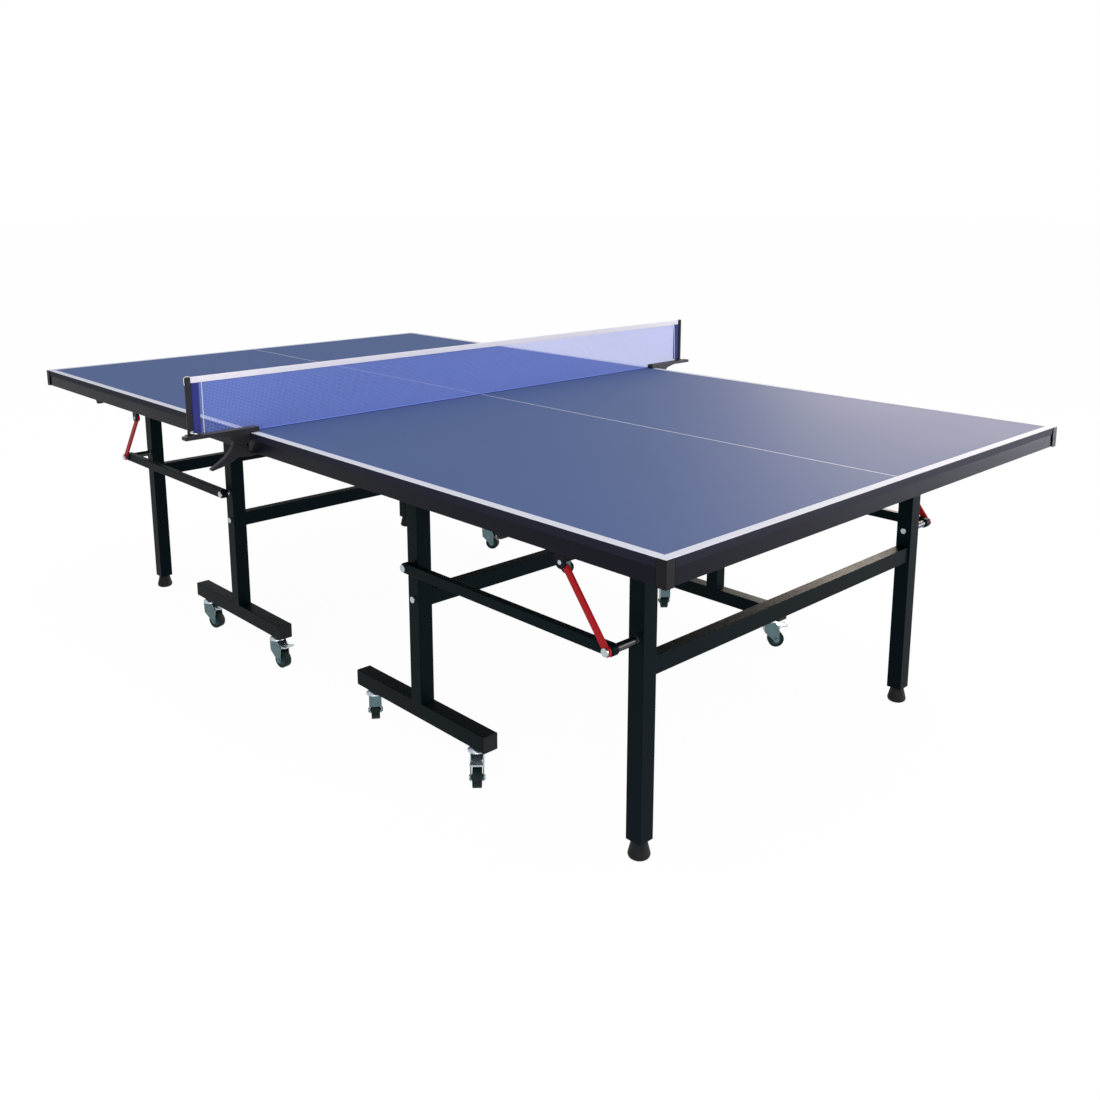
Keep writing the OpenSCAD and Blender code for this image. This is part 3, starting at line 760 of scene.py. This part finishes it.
upright_size = (THREAD_T, THREAD_W, MESH_H)
upright_place = (0, -MESH_END, (MESH_TOP + MESH_BOTTOM) / 2)
upright = thread_run("net_mesh", upright_size, upright_place, Z, UPRIGHT_CUTS,
                     (0, PITCH, 0), columns + 1)
level_size = (THREAD_T, 2 * MESH_END, THREAD_W)
level_place = (0, 0, MESH_BOTTOM + THREAD_W / 2)
level = thread_run("level_threads", level_size, level_place, Y, LEVEL_CUTS, (0, 0, PITCH), rows)
hem_size = (HEM_D, 2 * MESH_END, HEM_D)
hem_place = (0, 0, MESH_BOTTOM + HEM_D / 2)
hem = thread_run("hem_thread", hem_size, hem_place, Y, LEVEL_CUTS, (0, 0, PITCH), 1)

# %% one net, slightly bulged
BULGE = 1.6 * MM
LONG_WAVE = 7.1
SHORT_WAVE = 17.3
pick_only(upright)
level.select_set(True)
hem.select_set(True)
bpy.ops.object.join()
net_mesh = bpy.context.object
for vertex in net_mesh.data.vertices:
    down = (MESH_TOP - vertex.co.z) / MESH_H
    swell = math.sin(vertex.co.y * LONG_WAVE) + 0.6 * math.sin(vertex.co.y * SHORT_WAVE + 1.1)
    vertex.co.x += BULGE * math.sin(math.pi * min(1, down)) * swell
set_out(net_mesh, "near_top", net_thread, "net_blue", "net_cloth")
print("net mesh", len(net_mesh.data.polygons), "faces,", rows, "rows,", columns, "columns")

# %% [markdown]
# ## The band and the sleeves
# A canvas band is folded over the top of the net, and a padded sleeve at each end stands beside
# the post. Both are thin boxes to start with, cut into a grid so that their cloth can be drawn in
# by small crossed waves, and rounded with a bevel.


# %% a soft strip of cloth
PUCKERS_Y = 210
PUCKERS_Z = 330
PUCKER_SLANT = 40


def soft_strip(name, low, high, cuts, pucker):
    """A flat sewn strip between two corners, with its cloth drawn in a little at the stitches."""
    bpy.ops.mesh.primitive_cube_add(size=1, location=(0, 0, 0))
    strip = bpy.context.object
    strip.name = name
    strip.scale = [b - a for a, b in zip(low, high)]
    strip.location = [(a + b) / 2 for a, b in zip(low, high)]
    bpy.ops.object.transform_apply(location=True, rotation=False, scale=True)
    mesh = bmesh.new()
    mesh.from_mesh(strip.data)
    for axis, count in cuts:
        bmesh.ops.subdivide_edges(mesh, edges=edges_along(mesh, axis), cuts=count,
                                  use_grid_fill=True)
    centre = (low[0] + high[0]) / 2
    for vertex in mesh.verts:
        slant = math.sin(vertex.co.z * PUCKERS_Z + vertex.co.y * PUCKER_SLANT)
        drawn = math.sin(vertex.co.y * PUCKERS_Y) * slant
        vertex.co.x += pucker * drawn
        vertex.co.x = centre + (vertex.co.x - centre) * (1 - 0.25 * abs(drawn))
    mesh.to_mesh(strip.data)
    mesh.free()
    round_edges(strip, 0.8 * MM, 2, 50, 60)
    return strip


# %% the white band
BAND_H = 15 * MM
BAND_T = 3.5 * MM
BAND_PUCKER = 0.25 * MM
band_low = (-BAND_T / 2, tape_low.y, tape_high.z - BAND_H)
band_high = (BAND_T / 2, tape_high.y, tape_high.z)
band = soft_strip("net_band", band_low, band_high, ((Y, 150), (Z, 3)), BAND_PUCKER)
set_out(band, "near_top", tape_canvas, "tape_white", "net_tape")

# %% the blue sleeves
SLEEVE_T = 6 * MM
SLEEVE_PUCKER = 0.5 * MM
for side, sign in SIDES.items():
    low_y, high_y = sorted((sign * (net_high.y - SLEEVE_W), sign * net_high.y))
    sleeve_low = (-SLEEVE_T / 2, low_y, tape_low.z + 2 * MM)
    sleeve_high = (SLEEVE_T / 2, high_y, MESH_TOP)
    sleeve = soft_strip("net_sleeve_" + side, sleeve_low, sleeve_high, ((Y, 3), (Z, 14)),
                        SLEEVE_PUCKER)
    set_out(sleeve, "near_top", sleeve_cloth, "net_blue", "net_cloth")
    print(sleeve.name, round(sleeve_high[2] - sleeve_low[2], 3), "m high")

# %% the cords' finish
for cord in cords:
    cord.data.materials.append(cord_cloth)
print(len(cords), "cords")

# %% [markdown]
# ## The net clamps
# Each clamp has a flat arm over the table's edge, a post for the net and a curved spring lever
# that grips from below. They keep their CAD shape with rounded edges. A small bright socket screw
# is added at the foot of each post: a short cylinder, stepped and hollowed with two insets.

# %% clamps, levers and screws
SCREW_R = 4 * MM
SCREW_L = 4 * MM
SCREW_X = 6.5 * MM
SCREW_Z = 779 * MM
STEP_W = 1.6 * MM
STEP_H = 0.6 * MM
SOCKET_RIM = 0.6 * MM
SOCKET_D = 1 * MM
for side, sign in SIDES.items():
    dress("net_clamp_" + side, arm_coat, 1.2 * MM, 3)
    dress("net_lever_" + side, arm_coat, 1.6 * MM, 3)
    bpy.ops.mesh.primitive_cylinder_add(vertices=24, radius=SCREW_R, depth=SCREW_L,
                                        location=(SCREW_X + SCREW_L / 2, sign * POST_Y, SCREW_Z),
                                        rotation=(0, math.pi / 2, 0))
    screw = bpy.context.object
    screw.name = "post_screw_" + side
    bpy.ops.object.transform_apply(location=True, rotation=True, scale=True)
    pick_faces(screw, lambda centre, normal: normal.x > 0.9)
    bpy.ops.mesh.inset(thickness=STEP_W, depth=STEP_H)
    bpy.ops.mesh.inset(thickness=SOCKET_RIM, depth=-SOCKET_D)
    bpy.ops.object.mode_set(mode="OBJECT")
    round_edges(screw, 0.3 * MM, 1, 30, 40)
    set_out(screw, "near_top", bright_zinc, "zinc")
    print(screw.name, len(screw.data.polygons), "faces")
